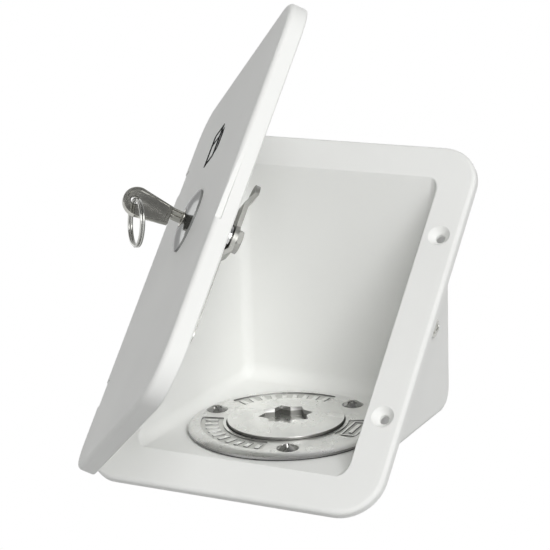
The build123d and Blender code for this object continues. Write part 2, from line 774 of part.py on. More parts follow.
# Plug with an eight-point socket
disc_top = seat + plug_disc_t
oring_mid = seat - oring_drop
oring_in = stem_r - oring_wire
with BuildPart() as filler_plug:
    with BuildSketch(filler_section):
        with BuildLine():
            rim = disc_top - plug_dome
            sphere_r = ((plug_disc_d / 2) ** 2 + plug_dome ** 2) / (2 * plug_dome)
            edge = Polyline((0, disc_top), (0, seat), (plug_disc_d / 2, seat), (plug_disc_d / 2, rim))
            half_r = plug_disc_d / 4
            half_z = disc_top - sphere_r + sqrt(sphere_r ** 2 - half_r ** 2)
            ThreePointArc(edge @ 1, (half_r, half_z), edge @ 0)
        make_face()
        fillet(vertices().sort_by(Axis.X)[-2:].sort_by(filler_axis)[-1:], radius=plug_edge_r)
    revolve(axis=filler_axis)
    with BuildSketch(filler_plane.offset(seat)):
        Circle(stem_r)
    extrude(amount=-plug_stem_l)
    with BuildSketch(filler_section):
        with Locations((oring_in - oring_gap, oring_mid)):
            Rectangle(oring_wire * 2, oring_wire + 2 * oring_gap, align=(Align.MIN, Align.CENTER))
    revolve(axis=filler_axis, mode=Mode.SUBTRACT)
    with BuildSketch(filler_plane.offset(disc_top + 1.0)):
        Rectangle(star_square, star_square, rotation=star_turn)
        Rectangle(star_square, star_square, rotation=star_turn + 45)
    extrude(amount=-star_depth - 1.0, mode=Mode.SUBTRACT)
filler_plug.part.label = "filler_plug"
export_step(filler_plug.part, "parts/filler_plug.step")

with BuildPart() as plug_o_ring:
    with BuildSketch(filler_section):
        with Locations((oring_in + oring_wire / 2, oring_mid)):
            Circle(oring_wire / 2)
    revolve(axis=filler_axis)
plug_o_ring.part.label = "plug_o_ring"
export_step(plug_o_ring.part, "parts/plug_o_ring.step")
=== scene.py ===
import json
from math import atan2, cos, pi, radians, sin, tau

import bmesh
import bpy
from mathutils import Matrix, Vector


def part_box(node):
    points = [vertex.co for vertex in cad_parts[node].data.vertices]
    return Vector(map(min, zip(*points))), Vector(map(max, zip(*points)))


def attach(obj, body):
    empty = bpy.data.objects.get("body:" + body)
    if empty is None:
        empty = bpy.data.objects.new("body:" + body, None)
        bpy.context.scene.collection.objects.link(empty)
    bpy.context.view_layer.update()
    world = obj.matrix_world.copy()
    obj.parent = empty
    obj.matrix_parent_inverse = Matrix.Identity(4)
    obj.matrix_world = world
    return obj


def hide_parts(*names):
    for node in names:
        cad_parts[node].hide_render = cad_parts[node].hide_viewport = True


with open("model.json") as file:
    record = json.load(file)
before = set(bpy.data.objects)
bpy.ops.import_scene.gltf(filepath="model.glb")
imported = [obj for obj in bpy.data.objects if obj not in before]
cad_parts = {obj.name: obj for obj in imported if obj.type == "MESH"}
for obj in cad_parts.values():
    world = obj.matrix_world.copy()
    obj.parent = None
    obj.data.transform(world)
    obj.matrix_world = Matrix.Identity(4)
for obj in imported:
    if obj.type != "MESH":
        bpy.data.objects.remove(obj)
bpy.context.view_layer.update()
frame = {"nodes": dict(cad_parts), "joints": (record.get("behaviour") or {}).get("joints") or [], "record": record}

bl_info = {
    "name": "Fuel filler hatch",
    "version": (1, 0, 0),
    "blender": (4, 5, 0),
    "location": "View3D > Sidebar > Hatch",
    "description": "Dresses the fuel filler hatch with its finishes, symbol, screws and key ring",
    "category": "Object",
}

MM = 0.001
JOINTS = {j["name"]: j for j in frame["joints"]}

# Directions and places that come from the frame
HINGE = Vector(JOINTS["door_hinge"]["pos_m"])
LOCK = Vector(JOINTS["lock_turn"]["pos_m"])
DOOR_OUT = Vector(JOINTS["lock_turn"]["axis"]).normalized()
DOOR_UP = Vector((0, 0, 1))
DOOR_ALONG = DOOR_UP.cross(DOOR_OUT).normalized()
FILLER = Vector(JOINTS["plug_turn"]["pos_m"])
FILLER_UP = Vector(JOINTS["plug_turn"]["axis"]).normalized()
FILLER_ALONG = Vector((1, 0, 0))
FILLER_IN = FILLER_UP.cross(FILLER_ALONG).normalized()
RING_PIVOT = Vector(JOINTS["ring_swing"]["pos_m"])

# Where the filler's finish changes: heights over the recess floor, and reaches out from the filler's axis
PANEL_LEVEL, PANEL_REACH = 2.95 * MM, 38.4 * MM
GROOVE_REACH = 27.5 * MM
PLUG_LEVEL, PLUG_REACH = 4.5 * MM, 27.0 * MM
NECK_LEVEL = -1.0 * MM
FAR_BELOW = -1.0
CAST_FADE = 0.35 * MM
WHEEL_POLISH = (0.24, 0.34)
CAST_ROUGHNESS = 0.5

# Three screws stand on this circle round the filler's axis
SCREW_COUNT, SCREW_CIRCLE = 3, 35.5 * MM
SCREW_START, SCREW_STEP = radians(58.0), radians(120.0)

# Stage, and the camera that sees the hatch as the photograph does
FLOOR_LEVEL, FLOOR_HALF, FLOOR_GLOW = -1.4, 12.0, 0.75
LAMP_DISTANCE = 2.2
CAMERA_PLACE = Vector((0.377989, -0.697168, -0.347731))
CAMERA_RIGHT = Vector((0.889945, 0.344454, 0.298915))
CAMERA_UP = Vector((-0.09319, -0.504245, 0.858518))
CAMERA_BACK = Vector((0.446446, -0.791889, -0.416651))
CAMERA_LENS, CAMERA_SENSOR, CAMERA_NEAR = 128.13, 36.0, 0.01

MIDDLE = (0.35, 0.65)  # The part of a noise's range that holds most of it
MIX_SOCKETS = {"FLOAT": (2, 3, 0), "RGBA": (6, 7, 2)}  # A Mix node's first input, second input and output


def basis(origin, x_axis, y_axis, z_axis):
    m = Matrix((x_axis, y_axis, z_axis)).transposed().to_4x4()
    m.translation = origin
    return m


DOOR_FRAME = basis(HINGE, DOOR_ALONG, DOOR_UP, DOOR_OUT)
LOCK_FRAME = basis(LOCK, DOOR_ALONG, DOOR_UP, DOOR_OUT)
FILLER_FRAME = basis(FILLER, FILLER_ALONG, FILLER_IN, FILLER_UP)


# Node helpers

def start_material(name):
    mat = bpy.data.materials.new(name)
    mat.use_nodes = True
    tree = mat.node_tree
    shader = tree.nodes["Principled BSDF"]
    coord = tree.nodes.new("ShaderNodeTexCoord")
    return mat, tree, shader, coord.outputs["Object"]


def noise(tree, place, scale, detail=2.0, rough=0.5, stretch=None):
    if stretch:
        mapping = tree.nodes.new("ShaderNodeMapping")
        mapping.inputs["Scale"].default_value = stretch
        tree.links.new(place, mapping.inputs["Vector"])
        place = mapping.outputs["Vector"]
    tex = tree.nodes.new("ShaderNodeTexNoise")
    tex.inputs["Scale"].default_value = scale
    tex.inputs["Detail"].default_value = detail
    tex.inputs["Roughness"].default_value = rough
    tree.links.new(place, tex.inputs["Vector"])
    return tex.outputs["Fac"]


def ranged(tree, value, low, high, span=MIDDLE):
    # Runs from low to high as the value crosses the span
    node = tree.nodes.new("ShaderNodeMapRange")
    node.inputs["From Min"].default_value = span[0]
    node.inputs["From Max"].default_value = span[1]
    node.inputs["To Min"].default_value = low
    node.inputs["To Max"].default_value = high
    tree.links.new(value, node.inputs["Value"])
    return node.outputs["Result"]


def vary(tree, value, low, high, socket, span=MIDDLE):
    tree.links.new(ranged(tree, value, low, high, span), socket)


def tint(tree, value, color_a, color_b, socket):
    ramp = tree.nodes.new("ShaderNodeValToRGB")
    for element, position, color in zip(ramp.color_ramp.elements, MIDDLE, (color_a, color_b)):
        element.position = position
        element.color = (*color, 1)
    tree.links.new(value, ramp.inputs["Fac"])
    tree.links.new(ramp.outputs["Color"], socket)


def bump(tree, shader, value, strength, depth):
    node = tree.nodes.new("ShaderNodeBump")
    node.inputs["Strength"].default_value = strength
    node.inputs["Distance"].default_value = depth
    tree.links.new(value, node.inputs["Height"])
    tree.links.new(node.outputs["Normal"], shader.inputs["Normal"])


def calc(tree, kind, *values):
    # A Math node on plain numbers and on other nodes' outputs
    node = tree.nodes.new("ShaderNodeMath")
    node.operation = kind
    for value, socket in zip(values, node.inputs):
        if isinstance(value, float):
            socket.default_value = value
        else:
            tree.links.new(value, socket)
    return node.outputs[0]


def dot(tree, vector, axis):
    node = tree.nodes.new("ShaderNodeVectorMath")
    node.operation = "DOT_PRODUCT"
    tree.links.new(vector, node.inputs[0])
    node.inputs[1].default_value = axis
    return node.outputs["Value"]


def filler_offset(tree):
    # From the filler's centre to a point of the piece
    node = tree.nodes.new("ShaderNodeVectorMath")
    node.operation = "SUBTRACT"
    coord = next(n for n in tree.nodes if n.type == "TEX_COORD")
    tree.links.new(coord.outputs["Object"], node.inputs[0])
    node.inputs[1].default_value = FILLER
    return node.outputs[0]


def mix_in(tree, socket, share, value, blend="MIX"):
    # Mixes one plain value into what already feeds the socket
    node = tree.nodes.new("ShaderNodeMix")
    node.data_type = "FLOAT" if isinstance(value, float) else "RGBA"
    node.blend_type = blend
    first, second, out = MIX_SOCKETS[node.data_type]
    tree.links.new(share, node.inputs[0])
    tree.links.new(socket.links[0].from_socket, node.inputs[first])
    node.inputs[second].default_value = value
    tree.links.new(node.outputs[out], socket)


def scaled(color, k):
    return tuple(min(1.0, c * k) for c in color[:3])


# Finishes

def moulded_plastic(name, color):
    mat, tree, shader, place = start_material(name)
    cloud = noise(tree, place, 9.0, 3.0)
    tint(tree, cloud, scaled(color, 0.975), scaled(color, 1.01), shader.inputs["Base Color"])
    handled = noise(tree, place, 42.0, 4.0, 0.6)
    vary(tree, handled, 0.5, 0.6, shader.inputs["Roughness"])
    grain = noise(tree, place, 1400.0, 1.0)
    bump(tree, shader, grain, 0.05, 0.00004)
    shader.inputs["IOR"].default_value = 1.49
    shader.inputs["Specular IOR Level"].default_value = 0.035
    return mat


def polished_metal(name, color, low, high, edge=1.0):
    # The roughness runs from low to high, and edge is how bright the metal mirrors at a flat angle
    mat, tree, shader, place = start_material(name)
    shader.inputs["Metallic"].default_value = 1.0
    shader.inputs["Specular Tint"].default_value = (edge, edge, edge, 1)
    cloud = noise(tree, place, 60.0, 3.0)
    tint(tree, cloud, scaled(color, 0.93), scaled(color, 1.03), shader.inputs["Base Color"])
    vary(tree, noise(tree, place, 110.0, 3.0, 0.5), low, high, shader.inputs["Roughness"])
    bump(tree, shader, noise(tree, place, 500.0, 2.0, 0.5), 0.06, 0.00003)
    return mat


def cast_and_shade_below(mat, level, reach, color):
    # Within this reach of the axis, below the level, the casting is rough and dull, since a wheel polishes no deeper;
    # in the groove round the plug the colour given is painted shade, and in the plug's socket it is painted shade
    # over the dull cast colour
    tree = mat.node_tree
    shader = tree.nodes["Principled BSDF"]
    offset = filler_offset(tree)
    x, y, height = (dot(tree, offset, axis) for axis in (FILLER_ALONG, FILLER_IN, FILLER_UP))
    off = calc(tree, "SQRT", calc(tree, "ADD", calc(tree, "MULTIPLY", x, x), calc(tree, "MULTIPLY", y, y)))
    inside = calc(tree, "LESS_THAN", off, reach)
    deep = ranged(tree, height, 0.0, 1.0, (level, level - CAST_FADE))
    mask = calc(tree, "MULTIPLY", deep, inside)
    mix_in(tree, shader.inputs["Base Color"], mask, (*color, 1))
    mix_in(tree, shader.inputs["Roughness"], mask, CAST_ROUGHNESS)


def shade_steep_walls(mat, share, floor=FAR_BELOW):
    # Above the floor, steep walls keep this share of the colour: painted shade on the sides of the shapes, darker
    # than what faces up
    tree = mat.node_tree
    shader = tree.nodes["Principled BSDF"]
    normal = tree.nodes.new("ShaderNodeNewGeometry").outputs["True Normal"]
    steep = ranged(tree, dot(tree, normal, FILLER_UP), 1.0, 0.0, (0.6, 0.92))
    above = calc(tree, "GREATER_THAN", dot(tree, filler_offset(tree), FILLER_UP), floor)
    wall_shade_color = (share, share, share, 1)
    # Painted shade: the colour of steep walls is multiplied down
    mix_in(tree, shader.inputs["Base Color"], calc(tree, "MULTIPLY", steep, above), wall_shade_color, "MULTIPLY")
    return mat


def filler_casting(name, s):
    # Polished plate, dull panels, a groove round the plug coloured near black as painted shade, painted shade on
    # steep walls, and a plain cast neck below the floor
    mat = polished_metal(name, scaled(s.filler_color, 0.93), *WHEEL_POLISH)
    cast_and_shade_below(mat, PANEL_LEVEL, PANEL_REACH, s.cast_color)
    # Painted shade: the groove round the plug is coloured near black
    cast_and_shade_below(mat, PANEL_LEVEL, GROOVE_REACH, s.groove_shade_color)
    cast_and_shade_below(mat, NECK_LEVEL, PANEL_REACH, s.neck_color)
    # Painted shade on the steep walls above the neck
    return shade_steep_walls(mat, 0.35, NECK_LEVEL)


def plug_casting(name, s):
    # Polished top; the socket and stem are dull cast metal with painted shade in their colour, and steep walls get
    # painted shade
    mat = polished_metal(name, s.filler_color, *WHEEL_POLISH)
    # Painted shade over the dull cast colour in the socket and on the stem
    cast_and_shade_below(mat, PLUG_LEVEL, PLUG_REACH, s.socket_cast_and_shade)
    # Painted shade on the plug's steep walls
    return shade_steep_walls(mat, 0.6)


def rolled_steel(name, color, low, high, grain=(30.0, 900.0, 30.0), relief=0.15):
    mat, tree, shader, place = start_material(name)
    shader.inputs["Metallic"].default_value = 1.0
    cloud = noise(tree, place, 90.0, 4.0, 0.6)
    tint(tree, cloud, scaled(color, 0.82), scaled(color, 1.08), shader.inputs["Base Color"])
    lines = noise(tree, place, 1.0, 2.0, 0.5, grain)
    vary(tree, lines, low, high, shader.inputs["Roughness"])
    bump(tree, shader, lines, relief, 0.00003)
    return mat


def soft_rubber(name, color):
    mat, tree, shader, place = start_material(name)
    tint(tree, noise(tree, place, 150.0, 3.0), scaled(color, 0.8), scaled(color, 1.3), shader.inputs["Base Color"])
    vary(tree, noise(tree, place, 300.0, 3.0), 0.55, 0.75, shader.inputs["Roughness"])
    bump(tree, shader, noise(tree, place, 2200.0, 2.0), 0.2, 0.00004)
    return mat


def printed_ink(name, color):
    mat, tree, shader, place = start_material(name)
    tint(tree, noise(tree, place, 700.0, 3.0), color, scaled(color, 1.7), shader.inputs["Base Color"])
    vary(tree, noise(tree, place, 200.0, 2.0), 0.6, 0.8, shader.inputs["Roughness"])
    shader.inputs["Specular IOR Level"].default_value = 0.02
    return mat


def material_for(slot):
    # The frame has plain materials under the slots' own names, so these get a name of their own
    name = "finish_" + slot
    if name in bpy.data.materials:
        return bpy.data.materials[name]
    s = bpy.context.scene.hatch_finish
    makers = {
        "white_plastic": lambda: moulded_plastic(name, s.plastic_color),
        # The bars get painted shade on their steep sides
        "chromed_filler": lambda: shade_steep_walls(polished_metal(name, s.filler_color, *WHEEL_POLISH), 0.35),
        "filler_casting": lambda: filler_casting(name, s),
        "plug_casting": lambda: plug_casting(name, s),
        "chromed": lambda: polished_metal(name, s.chrome_color, 0.1, 0.16, 0.45),
        "domed_heads": lambda: polished_metal(name, s.head_color, 0.06, 0.12),
        "ring_wire": lambda: polished_metal(name, s.ring_color, 0.05, 0.1),
        "stainless": lambda: rolled_steel(name, s.steel_color, 0.22, 0.36),
        "cam_steel": lambda: rolled_steel(name, scaled(s.steel_color, 0.72), 0.3, 0.44),
        "zinc": lambda: rolled_steel(name, s.zinc_color, 0.32, 0.46),
        "lock_brass": lambda: rolled_steel(name, s.lock_color, 0.2, 0.3),
        "key_steel": lambda: rolled_steel(name, s.key_color, 0.08, 0.16, (90.0, 90.0, 260.0), 0.05),
        "black_rubber": lambda: soft_rubber(name, s.rubber_color),
        "symbol_ink": lambda: printed_ink(name, s.ink_color),
    }
    return makers[slot]()


# Mesh helpers

def mesh_object(name, bm, slot, body, node=None, smooth=True, place=None, finish=None):
    if place is not None:
        bmesh.ops.transform(bm, matrix=place, verts=bm.verts)
    bmesh.ops.recalc_face_normals(bm, faces=bm.faces)
    mesh = bpy.data.meshes.new(name)
    bm.to_mesh(mesh)
    bm.free()
    if smooth:
        mesh.polygons.foreach_set("use_smooth", [True] * len(mesh.polygons))
        mesh.set_sharp_from_angle(angle=radians(35))
    obj = bpy.data.objects.new(name, mesh)
    bpy.context.collection.objects.link(obj)
    mesh.materials.append(material_for(finish or slot))
    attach(obj, body)
    if node:
        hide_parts(node)
    return obj


def around(bm, loop):
    # A ring of vertices round the Z axis, with a (radius, height) for each even step
    n = len(loop)
    return [bm.verts.new((r * cos(tau * i / n), r * sin(tau * i / n), z)) for i, (r, z) in enumerate(loop)]


def bridge(bm, rings, closed=False):
    # Faces from each ring of vertices to the next and, if closed, from the last to the first
    for a, b in zip(rings, rings[1:] + rings[:1] if closed else rings[1:]):
        n = len(a)
        for i in range(n):
            j = (i + 1) % n
            bm.faces.new((a[i], a[j], b[j], b[i]))


def prism(bm, outline, low, high):
    # A flat outline raised from low to high
    base = [bm.verts.new((x, y, low)) for x, y in outline]
    top = [bm.verts.new((x, y, high)) for x, y in outline]
    bm.faces.new(top)
    bm.faces.new(base[::-1])
    bridge(bm, [base, top])


def stroke(bm, points, width, low, high, closed=False):
    # A drawn line of even width, with mitred corners
    pts = [Vector((x, y, 0)) for x, y in points]
    n = len(pts)
    rows, sharpest = [], 0.35
    for i, p in enumerate(pts):
        before = pts[(i - 1) % n] if closed or i > 0 else p - (pts[1] - pts[0])
        after = pts[(i + 1) % n] if closed or i < n - 1 else p + (pts[-1] - pts[-2])
        a, b = (p - before).normalized(), (after - p).normalized()
        t = (a + b).normalized()
        side = Vector((-t.y, t.x, 0)) * (width / 2 / max(sharpest, t.dot(a)))
        left, right = p + side, p - side
        corners = ((left, low), (left, high), (right, high), (right, low))
        rows.append([bm.verts.new((v.x, v.y, z)) for v, z in corners])
    bridge(bm, rows, closed)
    if not closed:
        bm.faces.new(rows[0][::-1])
        bm.faces.new(rows[-1])


def arc(cx, cy, r, start, end, steps=10):
    turns = [radians(start + (end - start) * i / steps) for i in range(steps + 1)]
    return [(cx + r * cos(a), cy + r * sin(a)) for a in turns]


def rounded_box(x0, y0, x1, y1, r, steps=5):
    return (
        arc(x1 - r, y1 - r, r, 0, 90, steps) + arc(x0 + r, y1 - r, r, 90, 180, steps)
        + arc(x0 + r, y0 + r, r, 180, 270, steps) + arc(x1 - r, y0 + r, r, 270, 360, steps)
    )


def lathe(bm, outline, steps):
    # A closed outline of (radius, height) turned round the axis
    bridge(bm, [around(bm, [point] * steps) for point in outline], closed=True)


def tube(bm, path, radius, sides, up):
    # A round wire along a path, with flat ends
    rings = []
    for i, p in enumerate(path):
        t = (path[min(i + 1, len(path) - 1)] - path[max(i - 1, 0)]).normalized()
        u = (up - t * up.dot(t)).normalized()
        v = t.cross(u)
        turns = [tau * k / sides for k in range(sides)]
        rings.append([bm.verts.new(p + (u * cos(a) + v * sin(a)) * radius) for a in turns])
    bridge(bm, rings)
    bm.faces.new(rings[0][::-1])
    bm.faces.new(rings[-1])


def threaded_rod(bm, crest_r, root_r, pitch, low, high, steps=32, rows=6, capped=True):
    # A round rod whose surface winds up and down as a thread does, with flattened crests, run out at both ends
    count = max(2, int((high - low) / pitch * rows))
    flatten = 1.15
    rings = []
    for j in range(count + 1):
        z = low + (high - low) * j / count
        fade = min(1.0, min(z - low, high - z) / pitch)
        waves = [abs(2 * ((i / steps - z / pitch) % 1.0) - 1) for i in range(steps)]
        rings.append(around(bm, [(root_r + (crest_r - root_r) * min(1.0, w * flatten) * fade, z) for w in waves]))
    bridge(bm, rings)
    if capped:
        bm.faces.new(rings[0][::-1])
        bm.faces.new(rings[-1])


def cross_head(bm, head_r, rim_z, top_z, recess_r, recess_w, depth, shank_r, under_z, shank_z, steps=48):
    # Domed screw head with a cross recess pressed into it, and its underside down to the shank
    def top(r):
        return rim_z + (top_z - rim_z) * (1 - (r / head_r) ** 2)

    def cross(a):
        # How far the recess reaches at this angle: an arm at each quarter turn, and its waist between them
        a = (a + pi / 4) % (pi / 2) - pi / 4
        arm_side = recess_w / 2 / max(1e-6, abs(sin(a)))
        return max(recess_w * waist, min(recess_r / cos(a), arm_side))

    waist, taper, wall_depth = 0.72, 0.72, 0.8 * depth
    lip_w, lip_drop = 0.12 * MM, 0.1 * MM
    edge = [min(cross(tau * i / steps), recess_r) for i in range(steps)]
    loops = [[(head_r * share, top(head_r * share))] * steps for share in (1.0, 0.94, 0.8)]
    loops.append([(r + lip_w, top(r)) for r in edge])
    loops.append([(r, top(r) - lip_drop) for r in edge])
    loops.append([(r * taper, top(r) - wall_depth) for r in edge])
    rings = [around(bm, loop) for loop in loops]
    bridge(bm, rings)
    tip = bm.verts.new((0, 0, top_z - depth))
    for i in range(steps):
        bm.faces.new((rings[-1][i], rings[-1][(i + 1) % steps], tip))
    under = around(bm, [(head_r, under_z)] * steps)
    neck = around(bm, [(shank_r, shank_z)] * steps)
    bridge(bm, [under, rings[0]])
    bridge(bm, [neck, under])
    bm.faces.new(neck[::-1])


def chamfered_hex(bm, flats, low, high, chamfer, bore_r=None, steps=72):
    # Hexagon nut or head: the corners are turned down to a cone at both faces. Without a bore it is solid
    def side(a):
        a = (a + pi / 6) % (pi / 3) - pi / 6
        return flats / 2 / cos(a)

    face_share, bevel = 0.98, 0.3 * MM
    round_r = flats / 2 * face_share
    full = [side(tau * i / steps) for i in range(steps)]
    drop = [max(0.0, r - round_r) * chamfer for r in full]
    loops = [
        [(round_r, low)] * steps,
        [(r, low + d) for r, d in zip(full, drop)],
        [(r, high - d) for r, d in zip(full, drop)],
        [(round_r, high)] * steps,
    ]
    if bore_r:
        for point in ((bore_r + bevel, high), (bore_r, high - bevel), (bore_r, low + bevel), (bore_r + bevel, low)):
            loops.append([point] * steps)
    rings = [around(bm, loop) for loop in loops]
    if not bore_r:
        bm.faces.new(rings[0][::-1])
        bm.faces.new(rings[-1])
    bridge(bm, rings, closed=bool(bore_r))


def join_in(bm, other):
    # Copies the other form into this one, and frees it
    mesh = bpy.data.meshes.new("joined")
    other.to_mesh(mesh)
    other.free()
    bm.from_mesh(mesh)
    bpy.data.meshes.remove(mesh)


def pattern_object(bm, name):
    # A pattern that Geometry Nodes repeat
    bmesh.ops.recalc_face_normals(bm, faces=bm.faces)
    mesh = bpy.data.meshes.new(name)
    bm.to_mesh(mesh)
    bm.free()
    return bpy.data.objects.new(name, mesh)


def ring_array_tree():
    # Geometry Nodes: copies of one piece round a circle, at even steps
    name = "ring_array"
    if name in bpy.data.node_groups:
        return bpy.data.node_groups[name]
    tree = bpy.data.node_groups.new(name, "GeometryNodeTree")
    ask = tree.interface.new_socket
    for label, kind in (
        ("Geometry", "Geometry"), ("Piece", "Object"), ("Count", "Int"), ("Radius", "Float"),
        ("Start", "Float"), ("Step", "Float"), ("Finish", "Material"),
    ):
        ask(label, in_out="INPUT", socket_type="NodeSocket" + kind)
    ask("Geometry", in_out="OUTPUT", socket_type="NodeSocketGeometry")
    add, link = tree.nodes.new, tree.links.new

    inputs = add("NodeGroupInput").outputs
    index = add("GeometryNodeInputIndex").outputs[0]
    angle = calc(tree, "ADD", inputs["Start"], calc(tree, "MULTIPLY", index, inputs["Step"]))
    place = add("ShaderNodeCombineXYZ")
    for axis, kind in enumerate(("COSINE", "SINE")):
        link(calc(tree, "MULTIPLY", calc(tree, kind, angle), inputs["Radius"]), place.inputs[axis])
    turn = add("ShaderNodeCombineXYZ")
    link(angle, turn.inputs[2])
    points = add("GeometryNodePoints")
    link(inputs["Count"], points.inputs["Count"])
    link(place.outputs[0], points.inputs["Position"])
    source = add("GeometryNodeObjectInfo")
    link(inputs["Piece"], source.inputs["Object"])
    copies = add("GeometryNodeInstanceOnPoints")
    link(points.outputs[0], copies.inputs["Points"])
    link(source.outputs["Geometry"], copies.inputs["Instance"])
    link(turn.outputs[0], copies.inputs["Rotation"])
    real = add("GeometryNodeRealizeInstances")
    link(copies.outputs[0], real.inputs[0])
    finish = add("GeometryNodeSetMaterial")
    link(real.outputs[0], finish.inputs["Geometry"])
    link(inputs["Finish"], finish.inputs["Material"])
    link(finish.outputs[0], add("NodeGroupOutput").inputs[0])
    return tree


def ring_array(pattern, count, radius, start, step, slot):
    # Runs the tree on an empty carrier and gives back the plain mesh
    carrier = bpy.data.objects.new("carrier", bpy.data.meshes.new("carrier"))
    bpy.context.collection.objects.link(carrier)
    bpy.context.collection.objects.link(pattern)
    tree = ring_array_tree()
    mod = carrier.modifiers.new("ring_array", "NODES")
    mod.node_group = tree
    wanted = {
        "Piece": pattern, "Count": count, "Radius": radius, "Start": start, "Step": step,
        "Finish": material_for(slot),
    }
    for item in tree.interface.items_tree:
        if item.in_out == "INPUT" and item.name in wanted:
            mod[item.identifier] = wanted[item.name]
    graph = bpy.context.evaluated_depsgraph_get()
    mesh = bpy.data.meshes.new_from_object(carrier.evaluated_get(graph))
    bm = bmesh.new()
    bm.from_mesh(mesh)
    bpy.data.objects.remove(carrier)
    bpy.data.objects.remove(pattern)
    bpy.data.meshes.remove(mesh)
    return bm


# Sizes and colours that a user may change

class HatchFinish(bpy.types.PropertyGroup):
    plastic_color: bpy.props.FloatVectorProperty(
        name="Plastic", description="Colour of the housing and the door",
        subtype="COLOR", size=3, default=(0.905, 0.91, 0.89))
    filler_color: bpy.props.FloatVectorProperty(
        name="Filler", description="Colour of the polished filler and its plug",
        subtype="COLOR", size=3, default=(0.92, 0.92, 0.905))
    chrome_color: bpy.props.FloatVectorProperty(
        name="Rosette", description="Colour of the lock rosette",
        subtype="COLOR", size=3, default=(0.42, 0.425, 0.42))
    steel_color: bpy.props.FloatVectorProperty(
        name="Steel", description="Colour of the stainless parts",
        subtype="COLOR", size=3, default=(0.50, 0.50, 0.47))
    zinc_color: bpy.props.FloatVectorProperty(
        name="Zinc", description="Colour of the plated nut and washer",
        subtype="COLOR", size=3, default=(0.48, 0.48, 0.46))
    lock_color: bpy.props.FloatVectorProperty(
        name="Lock", description="Colour of the lock plug",
        subtype="COLOR", size=3, default=(0.50, 0.49, 0.45))
    key_color: bpy.props.FloatVectorProperty(
        name="Key", description="Colour of the key",
        subtype="COLOR", size=3, default=(0.46, 0.455, 0.42))
    ring_color: bpy.props.FloatVectorProperty(
        name="Ring", description="Colour of the split ring",
        subtype="COLOR", size=3, default=(0.44, 0.44, 0.42))
    cast_color: bpy.props.FloatVectorProperty(
        name="Panels", description="Colour of the filler's sunk panels",
        subtype="COLOR", size=3, default=(0.74, 0.74, 0.72))
    # Painted shade: near black for the shade in the groove round the plug
    groove_shade_color: bpy.props.FloatVectorProperty(
        name="Groove", description="Colour of the groove round the plug",
        subtype="COLOR", size=3, default=(0.10, 0.10, 0.09))
    neck_color: bpy.props.FloatVectorProperty(
        name="Neck", description="Colour of the neck and hose tail",
        subtype="COLOR", size=3, default=(0.40, 0.40, 0.385))
    # Dull cast colour with painted shade, inside the plug's socket
    socket_cast_and_shade: bpy.props.FloatVectorProperty(
        name="Socket", description="Colour inside the plug's socket",
        subtype="COLOR", size=3, default=(0.36, 0.36, 0.34))
    head_color: bpy.props.FloatVectorProperty(
        name="Screw heads", description="Colour of the filler's screw heads",
        subtype="COLOR", size=3, default=(0.34, 0.34, 0.33))
    rubber_color: bpy.props.FloatVectorProperty(
        name="Rubber", description="Colour of seal, gasket and O-ring",
        subtype="COLOR", size=3, default=(0.022, 0.022, 0.022))
    ink_color: bpy.props.FloatVectorProperty(
        name="Ink", description="Colour of the symbol on the door",
        subtype="COLOR", size=3, default=(0.006, 0.006, 0.006))


class HatchSizes(bpy.types.PropertyGroup):
    symbol_x: bpy.props.FloatProperty(
        name="Symbol across", description="Centre of the symbol from the hinge axis",
        default=62.3 * MM, unit="LENGTH")
    symbol_z: bpy.props.FloatProperty(
        name="Symbol height", description="Centre of the symbol above the middle",
        default=49.9 * MM, unit="LENGTH")
    symbol_w: bpy.props.FloatProperty(
        name="Symbol width", description="Width of the symbol", default=20.8 * MM, unit="LENGTH")
    symbol_h: bpy.props.FloatProperty(
        name="Symbol size", description="Height of the symbol", default=15.4 * MM, unit="LENGTH")
    line_w: bpy.props.FloatProperty(
        name="Line", description="Width of the symbol's lines", default=2.0 * MM, unit="LENGTH")
    ring_wire: bpy.props.FloatProperty(
        name="Ring wire", description="Diameter of the ring's wire", default=1.15 * MM, unit="LENGTH")
    screw_pitch: bpy.props.FloatProperty(
        name="Screw pitch", description="Thread pitch of the filler screws", default=0.8 * MM, unit="LENGTH")
    key_light: bpy.props.FloatProperty(
        name="Main light", description="Power of the main lamp", default=7.7, unit="POWER")
    fill_light: bpy.props.FloatProperty(
        name="Fill light", description="Power of the fill lamp", default=27.0, unit="POWER")
    side_light: bpy.props.FloatProperty(
        name="Side light", description="Power of the lamp on the left", default=9.5, unit="POWER")
    sky: bpy.props.FloatProperty(
        name="Sky", description="Strength of the even light all round", default=0.265)
    room: bpy.props.FloatProperty(
        name="Room", description="Strength of the room in front, as metal mirrors it", default=0.25)


# Stage

def add_world(scene, sizes):
    world = bpy.data.worlds.new("soft_room")
    scene.world = world
    world.use_nodes = True
    tree = world.node_tree
    light = tree.nodes["Background"]
    # What metal mirrors: the white backdrop behind the hatch, and a dimmer room in front of it
    room = tree.nodes.new("ShaderNodeBackground")
    white = tree.nodes.new("ShaderNodeBackground")
    for background, strength in ((light, sizes.sky), (room, sizes.room), (white, 1.0)):
        background.inputs["Color"].default_value = (1, 1, 1, 1)
        background.inputs["Strength"].default_value = strength
    toward = tree.nodes.new("ShaderNodeTexCoord")
    split = tree.nodes.new("ShaderNodeSeparateXYZ")
    tree.links.new(toward.outputs["Generated"], split.inputs[0])
    vary(tree, split.outputs["Y"], sizes.room, 1.0, room.inputs["Strength"], (-0.6, 0.1))
    path = tree.nodes.new("ShaderNodeLightPath").outputs
    mirrored = calc(tree, "MAXIMUM", path["Is Glossy Ray"], path["Is Transmission Ray"])
    for share, other in ((mirrored, room), (path["Is Camera Ray"], white)):
        mix = tree.nodes.new("ShaderNodeMixShader")
        tree.links.new(share, mix.inputs["Fac"])
        tree.links.new(light.outputs[0], mix.inputs[1])
        tree.links.new(other.outputs[0], mix.inputs[2])
        light = mix
    tree.links.new(light.outputs[0], tree.nodes["World Output"].inputs["Surface"])


